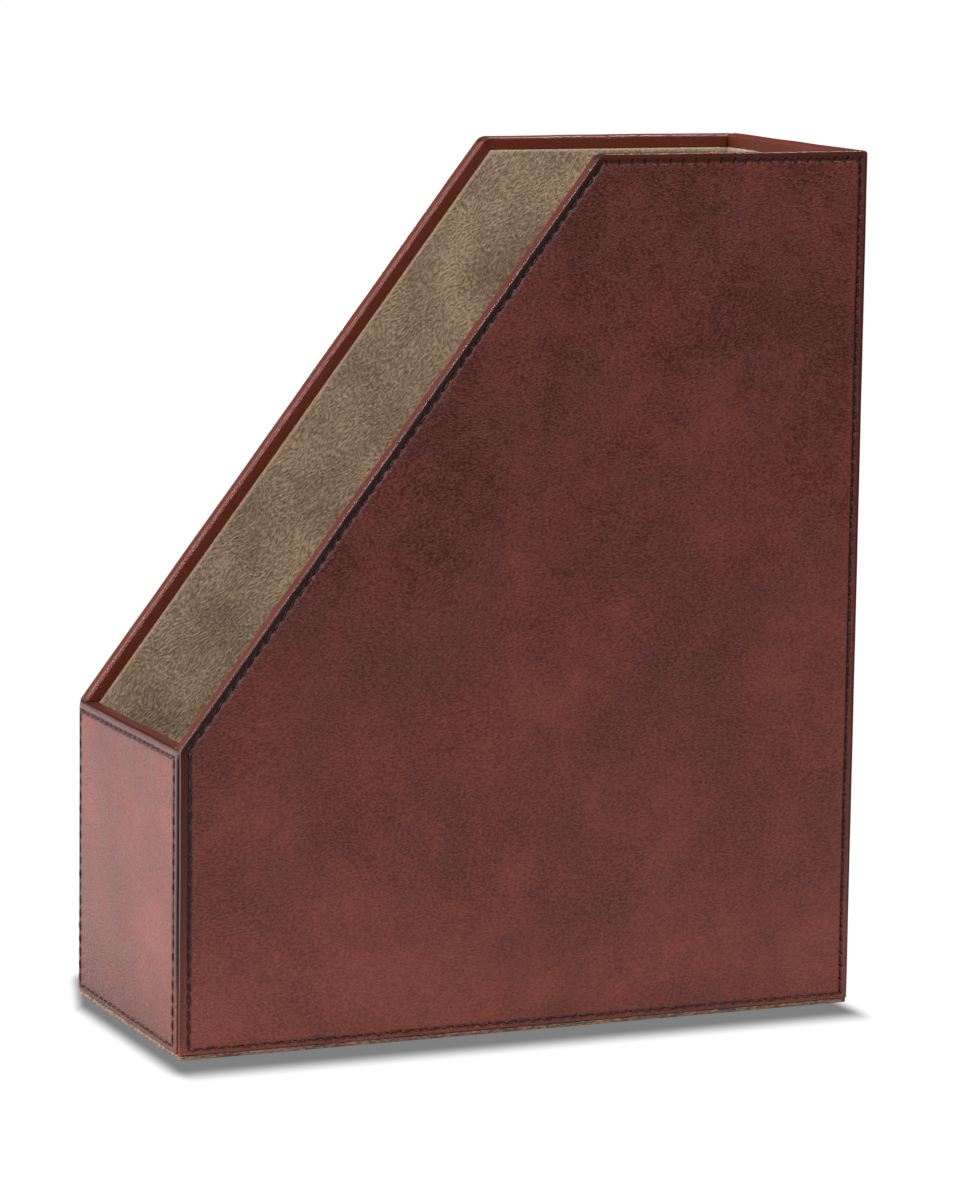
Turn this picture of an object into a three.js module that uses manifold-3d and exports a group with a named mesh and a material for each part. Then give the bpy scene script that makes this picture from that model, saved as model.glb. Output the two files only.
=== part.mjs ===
// A magazine file: a stiff open box whose side walls rise on a slant from a low front wall to a tall back wall.
// Five boards make the carcass. Each wall is covered in one piece of leather, stitched all round its face and turned
// over the rim to the inside, and the inside is lined in suede. A plain leather sole covers the underside.
//
// Millimetres, +Z up. The low front wall faces -Y, the tall back wall +Y, and the side walls -X and +X.
// The origin is the middle of the underside.
import * as THREE from "three";
import { mergeVertices } from "three/addons/utils/BufferGeometryUtils.js";
import Module from "manifold-3d";

const wasm = await Module();
wasm.setup();

// Overall size
const overallWidth = 112;
const overallDepth = 267;
const overallHeight = 320;
const frontHeight = 112;
const levelRimLength = 108; // level stretch of a side wall's rim, measured from the back

// Boards and hides
const boardThickness = 3;
const hideThickness = 1.5; // cover leather inside its stitching
const skivedThickness = 1; // cover leather pared thin at its edges, over the rim and down the inside
const liningThickness = 1.5;
const soleThickness = 1.4;
const clearance = 0.3; // glue line or working gap between any two pieces

// Edges of the cover leather
const turnInDepth = 4.8; // from the rim down the inside, where the lining starts
const rimRadius = 1; // round of the leather where it bends over the rim
const uprightEdgeRadius = 0.9; // round of the folded edge at an upright corner of the box
const footEdgeRadius = 0.45; // round of the cut edge at the foot
const edgeRoundDepth = 0.9; // how far down the edge of the leather these rounds reach
const rimCornerRadius = 2; // corners of a cover at the rim, seen square on
const footCornerRadius = 0.9; // and at the foot
const sharpestCornerRadius = 0.3; // of any line that runs further in, parallel to the edge
const soleInset = 0.3; // the sole's cut edge lies this far inside the covers
const soleCornerRadius = 1.5;

// Stitching
const stitchPitch = 5;
const stitchInsets = { foot: 2.2, upright: 3.9, rim: 3 }; // from the edge of a cover to its line of stitches
const threadWidth = 0.8;
const threadHeight = 0.6;
const threadSlant = 0.15; // each stitch starts this far to one side of the line and ends as far to the other
const threadRise = 0.9; // from a needle hole to where the stitch that leaves it is highest
const threadSink = 0.4; // from where a stitch is lowest to the needle hole that it enters
const sunkShare = 0.4; // height of the thread there, as a share of its full height

// The stitches lie in a pressed crease, flush with the face of the leather. The leather swells from the crease to
// its full thickness in the field of the panel.
const creaseFloorWidth = threadWidth + 2 * (threadSlant + clearance);
const creaseLipWidth = 0.3;
const creaseDepth = threadHeight + clearance;
const fieldRise = 2; // from the crease's inner lip to the full thickness
const outerLipShare = 0.55; // how much of the paring still shows at the crease's outer lip
const innerLipShare = 0.2; // and at its inner lip

const arcSteps = 3; // facets in each quarter round
const overrun = 5; // how far a cutting solid runs past what it cuts

// Layers of a wall, as depths below the face of its leather
const paredDepth = hideThickness - skivedThickness;
const boardFace = hideThickness + clearance;
const boardBack = boardFace + boardThickness;
const innerFace = boardBack + clearance; // the turned-in leather and the lining both start here
const turnInBack = innerFace + skivedThickness;
const liningBack = innerFace + liningThickness;

// The walls stand on the sole, and the base board lies between them.
const footZ = soleThickness + clearance;
const baseBoardTop = footZ + boardThickness;
const baseLiningFoot = baseBoardTop + clearance;

const leatherBrown = new THREE.MeshStandardMaterial({ color: 0x6b342b, roughness: 0.45, metalness: 0 });
const suedeOlive = new THREE.MeshStandardMaterial({ color: 0x7d6954, roughness: 0.95, metalness: 0 });
const threadDark = new THREE.MeshStandardMaterial({ color: 0x2e211b, roughness: 0.6, metalness: 0 });
const boardGrey = new THREE.MeshStandardMaterial({ color: 0xa08a6c, roughness: 0.9, metalness: 0 });
const soleTan = new THREE.MeshStandardMaterial({ color: 0xb98f6d, roughness: 0.8, metalness: 0 });

// Outlines are lists of corners, counter-clockwise, and each edge runs from its corner to the next one.

// Moves every edge inwards by its own distance.
function insetCorners(corners, distances) {
  const lines = corners.map((corner, i) => {
    const along = corners[(i + 1) % corners.length].clone().sub(corner).normalize();
    const inwards = new THREE.Vector2(-along.y, along.x);
    return { point: corner.clone().addScaledVector(inwards, distances[i]), along };
  });
  return lines.map((line, i) => {
    const before = lines[(i + lines.length - 1) % lines.length];
    const reach = line.point.clone().sub(before.point).cross(line.along) / before.along.cross(line.along);
    return before.point.clone().addScaledVector(before.along, reach);
  });
}

// Rounds every corner with an arc of its own radius. Every outline of as many corners gets as many points.
function roundCorners(corners, radii) {
  return corners.flatMap((corner, i) => {
    const back = corners[(i + corners.length - 1) % corners.length].clone().sub(corner).normalize();
    const ahead = corners[(i + 1) % corners.length].clone().sub(corner).normalize();
    const halfAngle = Math.acos(back.dot(ahead)) / 2;
    const bisector = back.clone().add(ahead).normalize();
    const centre = corner.clone().addScaledVector(bisector, radii[i] / Math.sin(halfAngle));
    const sweep = Math.PI - 2 * halfAngle;
    const start = Math.atan2(-bisector.y, -bisector.x) - sweep / 2;
    return Array.from({ length: arcSteps + 1 }, (_, step) => {
      const angle = start + (sweep * step) / arcSteps;
      return new THREE.Vector2(Math.cos(angle), Math.sin(angle)).multiplyScalar(radii[i]).add(centre);
    });
  });
}

// Skins a row of rings, each a list of as many points in space, into a geometry.
// A closed row joins its last ring to its first. An open one is capped, and its rings lie flat and are convex.
function skinRings(rings, closed) {
  const sides = rings[0].length;
  const positions = rings.flat().flatMap((point) => point.toArray());
  const indices = [];
  for (let r = 0; r < (closed ? rings.length : rings.length - 1); r++) {
    for (let s = 0; s < sides; s++) {
      const a = r * sides + s;
      const b = r * sides + ((s + 1) % sides);
      const c = ((r + 1) % rings.length) * sides + ((s + 1) % sides);
      const d = ((r + 1) % rings.length) * sides + s;
      indices.push(a, b, c, a, c, d);
    }
  }
  if (!closed) {
    const last = (rings.length - 1) * sides;
    const cap = THREE.ShapeUtils.triangulateShape(rings[0].map((point) => new THREE.Vector2(point.x, point.y)), []);
    for (const [a, b, c] of cap) indices.push(a, c, b, last + a, last + b, last + c);
  }
  const geometry = new THREE.BufferGeometry();
  geometry.setAttribute("position", new THREE.Float32BufferAttribute(positions, 3));
  geometry.setIndex(indices);
  return geometry;
}

// A pile of outlines, each lying at its own depth below the face of a wall, deepest first.
function pile(layers) {
  return skinRings(layers.map(({ outline, depth }) => outline.map((p) => new THREE.Vector3(p.x, p.y, -depth))), false);
}

// A flat sheet of one outline, from its face down to its back.
function sheet(outline, face, back) {
  return pile([
    { outline, depth: back },
    { outline, depth: face },
  ]);
}

function solidOf(geometry) {
  const bare = geometry.clone();
  bare.deleteAttribute("normal");
  bare.deleteAttribute("uv");
  const merged = mergeVertices(bare);
  const vertProperties = merged.attributes.position.array;
  return new wasm.Manifold(new wasm.Mesh({ numProp: 3, vertProperties, triVerts: new Uint32Array(merged.index.array) }));
}

function geometryOf(solid) {
  const { vertProperties, triVerts } = solid.getMesh();
  const geometry = new THREE.BufferGeometry();
  geometry.setAttribute("position", new THREE.BufferAttribute(vertProperties, 3));
  geometry.setIndex(new THREE.BufferAttribute(triVerts, 1));
  return geometry;
}

function piece(name, geometry, material) {
  geometry.computeVertexNormals();
  const mesh = new THREE.Mesh(geometry, material);
  mesh.name = name;
  return mesh;
}

// A wall has its corners, what each of its edges is (foot, upright or rim), and how far in from its upright edges
// each layer stops. Distances from its edges are given for each kind of edge.
function insetWall(wall, distances) {
  return insetCorners(wall.corners, wall.edges.map((kind) => distances[kind]));
}

function roundedWall(wall, distances) {
  const radii = wall.edges.map((kind, i) => {
    const before = wall.edges[(i + wall.edges.length - 1) % wall.edges.length];
    const radius = kind === "rim" || before === "rim" ? rimCornerRadius : footCornerRadius;
    return Math.max(radius - Math.min(distances[kind], distances[before]), sharpestCornerRadius);
  });
  return roundCorners(insetWall(wall, distances), radii);
}

// The board of a wall, cut square.
function wallBoard(wall) {
  const outline = insetWall(wall, { foot: 0, upright: wall.boardEnd, rim: skivedThickness + clearance });
  return sheet(outline, boardFace, boardBack);
}

// A cover with its hollow filled in. It runs down over the rim to the back of the turned-in leather. At the upright
// corners of the box its face is mitred to the next wall's. Its edges are rounded and pared thin, and a crease is
// pressed in for the stitches.
function filledCover(wall) {
  const mitre = (depth) => depth + clearance / Math.SQRT2;
  const layers = [];
  const addLayer = (inset, depth) => layers.push({ outline: roundedWall(wall, inset), depth });

  for (let step = 0; step <= arcSteps; step++) {
    const angle = (Math.PI / 2) * (step / arcSteps);
    const inset = { foot: 0, upright: wall.rimEnd, rim: rimRadius * (1 - Math.sin(angle)) };
    addLayer(inset, turnInBack - rimRadius * (1 - Math.cos(angle)));
  }
  addLayer({ foot: 0, upright: wall.rimEnd, rim: 0 }, hideThickness);
  addLayer({ foot: 0, upright: mitre(hideThickness), rim: 0 }, hideThickness);
  for (let step = 0; step <= arcSteps; step++) {
    const angle = (Math.PI / 2) * (step / arcSteps);
    const setIn = 1 - Math.cos(angle);
    const depth = paredDepth + edgeRoundDepth * (1 - Math.sin(angle));
    const upright = mitre(depth) + uprightEdgeRadius * setIn;
    addLayer({ foot: footEdgeRadius * setIn, upright, rim: rimRadius * setIn }, depth);
  }

  const floorEdge = creaseFloorWidth / 2;
  const lip = floorEdge + creaseLipWidth;
  const { foot, upright, rim } = stitchInsets;
  for (const [offset, depth] of [
    [-lip, paredDepth * outerLipShare],
    [-floorEdge, creaseDepth],
    [floorEdge, creaseDepth],
    [lip, paredDepth * innerLipShare],
    [lip + fieldRise, 0],
  ]) {
    addLayer({ foot: foot + offset, upright: upright + offset, rim: rim + offset }, depth);
  }
  return solidOf(pile(layers));
}

// One piece of leather: the face, the rim over the top of the board, and the strip turned in down its inside.
function wallCover(wall) {
  const cutter = (inset, face, back) => solidOf(sheet(insetWall(wall, inset), face, back));
  const open = { foot: -overrun, upright: -overrun, rim: -overrun };
  const boardSpace = cutter({ ...open, rim: skivedThickness }, hideThickness, innerFace);
  const liningSpace = cutter({ ...open, rim: turnInDepth }, boardBack, turnInBack + overrun);
  // The turned-in strip stops short of the walls at both ends, where the rim runs on.
  const inside = cutter(open, innerFace, turnInBack + overrun);
  const strip = cutter({ ...open, upright: wall.turnInEnd, rim: -2 * overrun }, boardBack, turnInBack + 2 * overrun);
  const leather = filledCover(wall).subtract(boardSpace).subtract(liningSpace).subtract(inside.subtract(strip));
  return geometryOf(leather);
}

// One thread, stitched right round a cover, with a needle hole at each corner. Every stitch rises out of its hole on
// one side of the line and sinks into the next hole on the other side.
function wallStitching(wall) {
  const corners = insetWall(wall, stitchInsets);
  const seat = creaseDepth - clearance;
  const rings = corners.flatMap((corner, i) => {
    const next = corners[(i + 1) % corners.length];
    const length = corner.distanceTo(next);
    const along = next.clone().sub(corner).normalize();
    const outwards = new THREE.Vector2(along.y, -along.x);
    const section = (distance, slant, height) => {
      const middle = corner.clone().addScaledVector(along, distance).addScaledVector(outwards, slant);
      const outer = middle.clone().addScaledVector(outwards, threadWidth / 2);
      const inner = middle.clone().addScaledVector(outwards, -threadWidth / 2);
      return [
        new THREE.Vector3(outer.x, outer.y, -seat),
        new THREE.Vector3(inner.x, inner.y, -seat),
        new THREE.Vector3(middle.x, middle.y, height - seat),
      ];
    };
    const stitches = Math.max(1, Math.round(length / stitchPitch));
    const stitchLength = length / stitches;
    return Array.from({ length: stitches }, (_, k) => [
      section(stitchLength * k + threadRise, threadSlant, threadHeight),
      section(stitchLength * (k + 1) - threadSink, -threadSlant, threadHeight * sunkShare),
    ]).flat();
  });
  return skinRings(rings, true);
}

// The lining stands on the base board and stops at the turned-in leather.
function wallLining(wall) {
  const inset = { foot: boardThickness + clearance, upright: wall.liningEnd, rim: turnInDepth + clearance };
  return sheet(insetWall(wall, inset), innerFace, liningBack);
}

// A side wall runs the whole depth of the box, and its rim is slanted, then level.
const sideWall = {
  corners: [
    new THREE.Vector2(-overallDepth / 2, footZ),
    new THREE.Vector2(overallDepth / 2, footZ),
    new THREE.Vector2(overallDepth / 2, overallHeight),
    new THREE.Vector2(overallDepth / 2 - levelRimLength, overallHeight),
    new THREE.Vector2(-overallDepth / 2, frontHeight),
  ],
  edges: ["foot", "upright", "rim", "rim", "upright"],
  boardEnd: boardFace,
  rimEnd: boardFace,
  turnInEnd: innerFace + clearance,
  liningEnd: innerFace,
};

// The front and back walls are rectangles. Behind their leather faces they fit between the side walls.
function endWall(height) {
  return {
    corners: [
      new THREE.Vector2(-overallWidth / 2, footZ),
      new THREE.Vector2(overallWidth / 2, footZ),
      new THREE.Vector2(overallWidth / 2, height),
      new THREE.Vector2(-overallWidth / 2, height),
    ],
    edges: ["foot", "upright", "rim", "upright"],
    boardEnd: innerFace,
    rimEnd: innerFace + clearance,
    turnInEnd: liningBack + clearance,
    liningEnd: liningBack + clearance,
  };
}

// Each wall is drawn facing +Z with its own up along +Y, then stood up to face outwards at its place.
function buildWall(name, wall, outwards, distance) {
  const group = new THREE.Group();
  group.add(
    piece(`${name}_board`, wallBoard(wall), boardGrey),
    piece(`${name}_leather`, wallCover(wall), leatherBrown),
    piece(`${name}_stitching`, wallStitching(wall), threadDark),
    piece(`${name}_lining`, wallLining(wall), suedeOlive),
  );
  const up = new THREE.Vector3(0, 0, 1);
  group.setRotationFromMatrix(new THREE.Matrix4().makeBasis(up.clone().cross(outwards), up, outwards));
  group.position.copy(outwards).multiplyScalar(distance);
  return group;
}

// A rectangle about the origin, for the flat pieces of the base.
function rectangle(width, depth) {
  return [
    new THREE.Vector2(-width / 2, -depth / 2),
    new THREE.Vector2(width / 2, -depth / 2),
    new THREE.Vector2(width / 2, depth / 2),
    new THREE.Vector2(-width / 2, depth / 2),
  ];
}

function buildBase() {
  const inside = (inset) => rectangle(overallWidth - 2 * inset, overallDepth - 2 * inset);
  const soleOutline = roundCorners(inside(soleInset), inside(soleInset).map(() => soleCornerRadius));
  const group = new THREE.Group();
  group.add(
    piece("sole_leather", sheet(soleOutline, -soleThickness, 0), soleTan),
    piece("base_board", sheet(inside(innerFace), -baseBoardTop, -footZ), boardGrey),
    piece(
      "base_lining",
      sheet(inside(liningBack + clearance), -(baseLiningFoot + liningThickness), -baseLiningFoot),
      suedeOlive,
    ),
  );
  return group;
}

// The left side is the right one's mirror image.
const leftSide = new THREE.Group();
leftSide.add(buildWall("left_side", sideWall, new THREE.Vector3(1, 0, 0), overallWidth / 2));
leftSide.scale.x = -1;

const magazineFile = new THREE.Group();
magazineFile.add(
  buildWall("right_side", sideWall, new THREE.Vector3(1, 0, 0), overallWidth / 2),
  leftSide,
  buildWall("front", endWall(frontHeight), new THREE.Vector3(0, -1, 0), overallDepth / 2),
  buildWall("back", endWall(overallHeight), new THREE.Vector3(0, 1, 0), overallDepth / 2),
  buildBase(),
);

export default magazineFile;
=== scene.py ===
"""A leather magazine file: four stitched leather covers over board, lined in suede, on a raw leather sole.

Each wall is made lying flat, as on the bench: x runs along it, y up it, and z out of its face, which lies at
z = 0. Then it is stood up in its place. Lengths are in metres, and MM turns millimetres into them.
"""

from collections import namedtuple
from math import asin, atan2, cos, pi, radians, sin

import bmesh
import bpy
from mathutils import Matrix, Vector, noise


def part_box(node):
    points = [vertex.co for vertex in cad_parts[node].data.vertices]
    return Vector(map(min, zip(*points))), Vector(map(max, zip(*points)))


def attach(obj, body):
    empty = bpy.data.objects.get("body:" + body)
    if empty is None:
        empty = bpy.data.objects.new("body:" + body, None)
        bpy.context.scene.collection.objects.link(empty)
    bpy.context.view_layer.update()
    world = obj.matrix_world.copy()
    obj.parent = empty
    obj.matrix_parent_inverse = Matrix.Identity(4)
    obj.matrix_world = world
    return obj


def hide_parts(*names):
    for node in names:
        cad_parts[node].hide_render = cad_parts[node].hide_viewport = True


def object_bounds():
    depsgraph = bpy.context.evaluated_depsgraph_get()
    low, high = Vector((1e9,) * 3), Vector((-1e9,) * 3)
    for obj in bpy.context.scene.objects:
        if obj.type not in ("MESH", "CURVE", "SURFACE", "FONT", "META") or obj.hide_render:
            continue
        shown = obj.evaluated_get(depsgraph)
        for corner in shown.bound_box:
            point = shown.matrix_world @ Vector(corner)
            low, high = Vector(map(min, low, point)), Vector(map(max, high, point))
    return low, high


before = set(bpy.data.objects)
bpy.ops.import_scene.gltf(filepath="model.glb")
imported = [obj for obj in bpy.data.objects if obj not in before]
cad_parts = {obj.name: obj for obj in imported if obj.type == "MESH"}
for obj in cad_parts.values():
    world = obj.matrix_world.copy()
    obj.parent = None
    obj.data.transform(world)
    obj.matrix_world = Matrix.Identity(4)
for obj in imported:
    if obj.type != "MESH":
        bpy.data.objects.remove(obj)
cad_low, cad_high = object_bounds()
noise.seed_set(1)  # without a seed, the noise would be new at every run

MM = 0.001
CLEARANCE = 0.3 * MM
SAME = 0.001 * MM  # closer than this, two heights are one

# The carcass, as the frame has it
HALF_WIDTH, HALF_DEPTH, TOP = cad_high
GLUE_DRAW = 0.25 * MM  # how far glue draws the covers down to the sole
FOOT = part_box("front_leather")[0].z - GLUE_DRAW
FRONT_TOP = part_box("front_leather")[1].z
TURN_IN_BACK = HALF_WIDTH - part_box("right_side_leather")[0].x  # depths below the face of a wall
LINING_FACE = HALF_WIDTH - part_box("right_side_lining")[1].x
LINING_BACK = HALF_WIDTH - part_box("right_side_lining")[0].x
LINING_GAP = FRONT_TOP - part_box("front_lining")[1].z  # from the rim down to the lining
LINING_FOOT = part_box("front_lining")[0].z - FOOT
LEVEL_RIM = 108 * MM  # level stretch of a side wall's rim, from the back

# The pressed crease and the swell of the leather beside it: distance in from the line of stitches, and depth
CREASE_DEPTH = 0.8 * MM
CREASE = [
    (-1.6 * MM, 0.33 * MM),
    (-1.2 * MM, 0.25 * MM),
    (-0.8 * MM, 0.28 * MM),
    (-0.45 * MM, 0.68 * MM),
    (0, CREASE_DEPTH),
    (0.45 * MM, 0.68 * MM),
    (0.85 * MM, 0.18 * MM),
    (1.4 * MM, 0.05 * MM),
    (2.2 * MM, -0.02 * MM),
    (4 * MM, -0.08 * MM),
]
FIELD_START = CREASE[-1][0]

# Cover leather
SKIN = 0.5 * MM  # how much of its thickness is modelled
LIP_DEPTH = 1.3 * MM  # how deep a folded edge shows, down to the skin on the board
BORDER_DEPTH = 0.35 * MM  # the pared border lies this much below the field
FOLD_RADIUS = 0.3 * MM
TURN_IN_RADIUS = 1.3 * MM
TURN_IN_START = TURN_IN_BACK - TURN_IN_RADIUS  # the depth at which it starts to round into the inside
ROUND_STEPS = 4
ROUND_CORNER = 2.2 * MM  # corners of a cover, seen square on
NEAT_CORNER = 0.9 * MM
KNEE_CORNER = 5 * MM  # where the rim of a side wall turns from level to slanted
SHARPEST_RADIUS = 0.3 * MM
CORNER_STEPS = 5
FIELD_GRID = 6 * MM
PILLOW = 0.35 * MM  # how far the field swells
PILLOW_RISE = (FIELD_START, 34 * MM)  # how far in from the stitches the swell begins, and is full
RIPPLE_RISE = (FIELD_START, 20 * MM)

# The rim of a cover: the radius of its outer edge, and how far its top and that edge are burnished (0 to 1)
Rim = namedtuple("Rim", "radius burnish edge_burnish")
SIDE_RIM = Rim(0.65 * MM, 0.55, 0.8)
END_RIM = Rim(0.85 * MM, 0.65, 1)

# How far handwork strays, and over what length
Stray = namedtuple("Stray", "reach length")
WAVER = Stray(0.16 * MM, 23 * MM)  # of cut edges and rows of stitches
RIPPLE = Stray(0.22 * MM, 38 * MM)  # of the field
CRIMP = Stray(0.08 * MM, 4 * MM)  # of the leather where it rounds into the inside
WOBBLE = Stray(0.24 * MM, 4.2 * MM)  # of the thread
SOLE_WAVER = Stray(0.12 * MM, 6 * MM)  # of the cut edge of the sole

# Towards the floor the work is slacker and more worn: the shares left there, and the heights between which
# they grow to the whole
PRESS_AT_FOOT, BURNISH_AT_FOOT, INK_AND_SHADE_AT_FOOT = 0.4, 0.4, 0.3
PRESS_HEIGHTS, WORN_HEIGHTS, GROOVE_HEIGHTS = (5 * MM, 50 * MM), (10 * MM, 70 * MM), (15 * MM, 40 * MM)
DULL_FOOT = 5 * MM  # up to this height the rounded edges aren't burnished

# Where marks begin and end, in from the line of stitches
BURNISH_END = (-0.6 * MM, 1.6 * MM)
INK_AND_SHADE_END = (0.6 * MM, 1.2 * MM)  # to both sides
RUB_START, RUB_END = (0.7 * MM, 1.4 * MM), (1.4 * MM, 4 * MM)
RUBBED_STRIP = 8 * MM  # along the back edge of a side wall
RUB, RUB_UNEVENNESS = 0.25, 0.5  # how far it is rubbed there (0 to 1)
MOTTLE_LENGTH, RUB_LENGTH = 3 * MM, 19 * MM  # over which the ink and the rub are uneven
KNEE_PLEAT_SHADE = (1 * MM, 6 * MM)  # round the knee, inside: painted shade of the pleat there
ROUNDED_BURNISH, ROUNDED_HIGHLIGHT = 0.7, 0.3  # where the leather rounds into the inside: burnished, and made lighter red as a painted highlight

# Painted light and shade by height: the heights between which the tone grows lighter up an end wall and
# darker up a side wall, and how much darker it is made on an end wall and near the rim of a side wall, down
# to so far from that rim
END_SHADING_HEIGHTS, SIDE_SHADING_HEIGHTS = (10 * MM, 60 * MM), (20 * MM, 200 * MM)
END_DARKENING, DARKER_NEAR_RIM, RIM_STRIP = 0.5, 0.6, 80 * MM

# How the folded upright edges meet at a corner: how far each stops short of the corner of the box, whether it
# is mitred, and from how deep down the groove between them is darkened
Meeting = namedtuple("Meeting", "gap mitre inked")
MITRED = Meeting(0.2 * MM, 1, 0.5 * MM)
PROUD = Meeting(0.2 * MM, 0, 1.2 * MM)
SET_BACK = Meeting(4.1 * MM, 1, 0.3 * MM)
GAP_OPENS = (0.8 * MM, 2.5 * MM)  # how far below the rim they begin to stop short, and do so wholly

# Stitching
PITCH = 5.05 * MM
POINTS_ALONG = (0, 0.12, 0.5, 0.88)  # of a cover along each stitch, closest together at its needle hole
POINT_SLACK = 0.19 * PITCH  # half of the widest spacing of those points
HOLE_DEPTH = 1.25 * MM
STITCH_CUTS = 8
STITCH_TAPER = 0.75  # share of its thickness that a stitch loses at its ends
STITCH_RISE = 0.7  # in radii, how far its middle stands off the crease, and how far its ends dive from there
STITCH_DIVE = 1.9

# Ways of stitching: the thread's radius, how far each end strays sideways, how far it is sunk, how hard the
# crease is pressed and how dark it is, part dye and part painted shade (shares), and how far across it the
# holes are pulled open
Style = namedtuple("Style", "radius stray sunk press ink pull")
BOLD = Style(0.56 * MM, 0.4 * MM, 0, 0.85, 0.65, 0)
PULLED = Style(0.36 * MM, 0.2 * MM, 0, 0.7, 0.4, 0.6 * MM)
DASHED = Style(0.42 * MM, 0.32 * MM, 0, 0.62, 0.3, 0)
TICKED = Style(0.17 * MM, 0.06 * MM, 0.22 * MM, 0.5, 0.45, 0.85 * MM)
FINE = Style(0.33 * MM, 0.52 * MM, 0, 0.45, 0.5, 0)
CLEAR = Style(0.41 * MM, 0.46 * MM, 0, 0.5, 0.75, 0)

# An edge of a cover: what it is (foot, upright or rim), how far in it is stitched, how far it is burnished (0
# to 1), its way of stitching, and how it meets the next cover
Edge = namedtuple("Edge", "kind stitched finish style meeting", defaults=[MITRED])

# Linings
SUEDE_RADIUS = 0.7 * MM  # of a cut edge
SUEDE_RINGS = (1.4 * MM, 3 * MM)  # how far in from the edge the last rings lie, on the face
SUEDE_GRID = 9 * MM
SUEDE_EDGE_HIGHLIGHT = (0.3 * MM, 1.3 * MM)  # how far down from the rim the painted highlight along the cut edge shows


# Working on pieces


def only(piece):
    bpy.ops.object.select_all(action="DESELECT")
    piece.select_set(True)
    bpy.context.view_layer.objects.active = piece


def add_modifier(piece, kind, **settings):
    """Adds a modifier and applies it."""
    only(piece)
    modifier = piece.modifiers.new(kind, kind)
    for setting, value in settings.items():
        setattr(modifier, setting, value)
    bpy.ops.object.modifier_apply(modifier=modifier.name)


def smooth(piece, angle=50):
    only(piece)
    bpy.ops.object.shade_smooth_by_angle(angle=radians(angle))


def add_attribute(piece, name, values):
    piece.data.attributes.new(name, "FLOAT", "POINT").data.foreach_set("value", values)


def smoothstep(low, high, value):
    share = min(max((value - low) / (high - low), 0), 1)
    return share * share * (3 - 2 * share)


def growing(left, heights, height):
    """A share that grows between two heights from what is left of it to the whole."""
    return left + (1 - left) * smoothstep(*heights, height)


def quarter_turns():
    """Angles of the rings round an edge, after its first."""
    return [pi / 2 * step / ROUND_STEPS for step in range(1, ROUND_STEPS + 1)]


class Shell:
    """A shell that grows from ring to ring of points, each extruded from the last."""

    def __init__(self, name, ring):
        bpy.ops.object.select_all(action="DESELECT")
        bpy.ops.mesh.primitive_circle_add(vertices=len(ring), fill_type="NOTHING")
        self.piece = bpy.context.object
        self.piece.name = self.piece.data.name = name
        bpy.ops.object.mode_set(mode="EDIT")
        bpy.ops.mesh.select_mode(type="VERT")
        self.mesh().verts.layers.int.new("number")
        numbers = self.numbers()
        for number, vert in enumerate(self.mesh().verts):
            vert[numbers] = number
        self.place(ring)

    def mesh(self):
        return bmesh.from_edit_mesh(self.piece.data)

    def numbers(self):
        return self.mesh().verts.layers.int["number"]

    def place(self, ring):
        """Moves the selected points to their places in a ring."""
        numbers = self.numbers()
        for vert in self.mesh().verts:
            if vert.select:
                vert.co = ring[vert[numbers]]
        bmesh.update_edit_mesh(self.piece.data)

    def grow(self, *rings):
        for ring in rings:
            bpy.ops.mesh.extrude_region_move()
            self.place(ring)

    def select(self, wanted):
        bpy.ops.mesh.select_all(action="DESELECT")
        mesh = self.mesh()
        for vert in mesh.verts:
            vert.select = wanted(vert.co)
        mesh.select_flush(True)
        bmesh.update_edit_mesh(self.piece.data)

    def fill(self, height=None):
        """Fills the last ring, or the one at a height."""
        if height is not None:
            self.select(lambda p: abs(p.z - height) < SAME)
        bpy.ops.mesh.edge_face_add()

    def grid(self, spacing, low, high):
        """Cuts the face just filled into a grid."""
        bpy.ops.mesh.select_mode(type="FACE")
        bpy.ops.mesh.hide(unselected=True)
        for normal in (Vector((1, 0, 0)), Vector((0, 1, 0))):
            span = normal.dot(high - low)
            cuts = round(span / spacing)
            for cut in range(1, cuts):
                bpy.ops.mesh.select_all(action="SELECT")
                bpy.ops.mesh.bisect(plane_co=low + normal * (span * cut / cuts), plane_no=normal)
        bpy.ops.mesh.reveal(select=False)
        bpy.ops.mesh.select_mode(type="VERT")

    def finish(self, up):
        """Turns every face outwards. The furthest face up (1) or down (-1) tells which way is out."""
        bpy.ops.mesh.select_all(action="SELECT")
        bpy.ops.mesh.normals_make_consistent(inside=False)
        outermost = max(self.mesh().faces, key=lambda face: up * face.calc_center_median().z)
        if outermost.normal.z * up < 0:
            bpy.ops.mesh.flip_normals()
        bpy.ops.object.mode_set(mode="OBJECT")
        return self.piece


# Walls


def raised(outline, height):
    return [Vector((point.x, point.y, height)) for point in outline]


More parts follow.
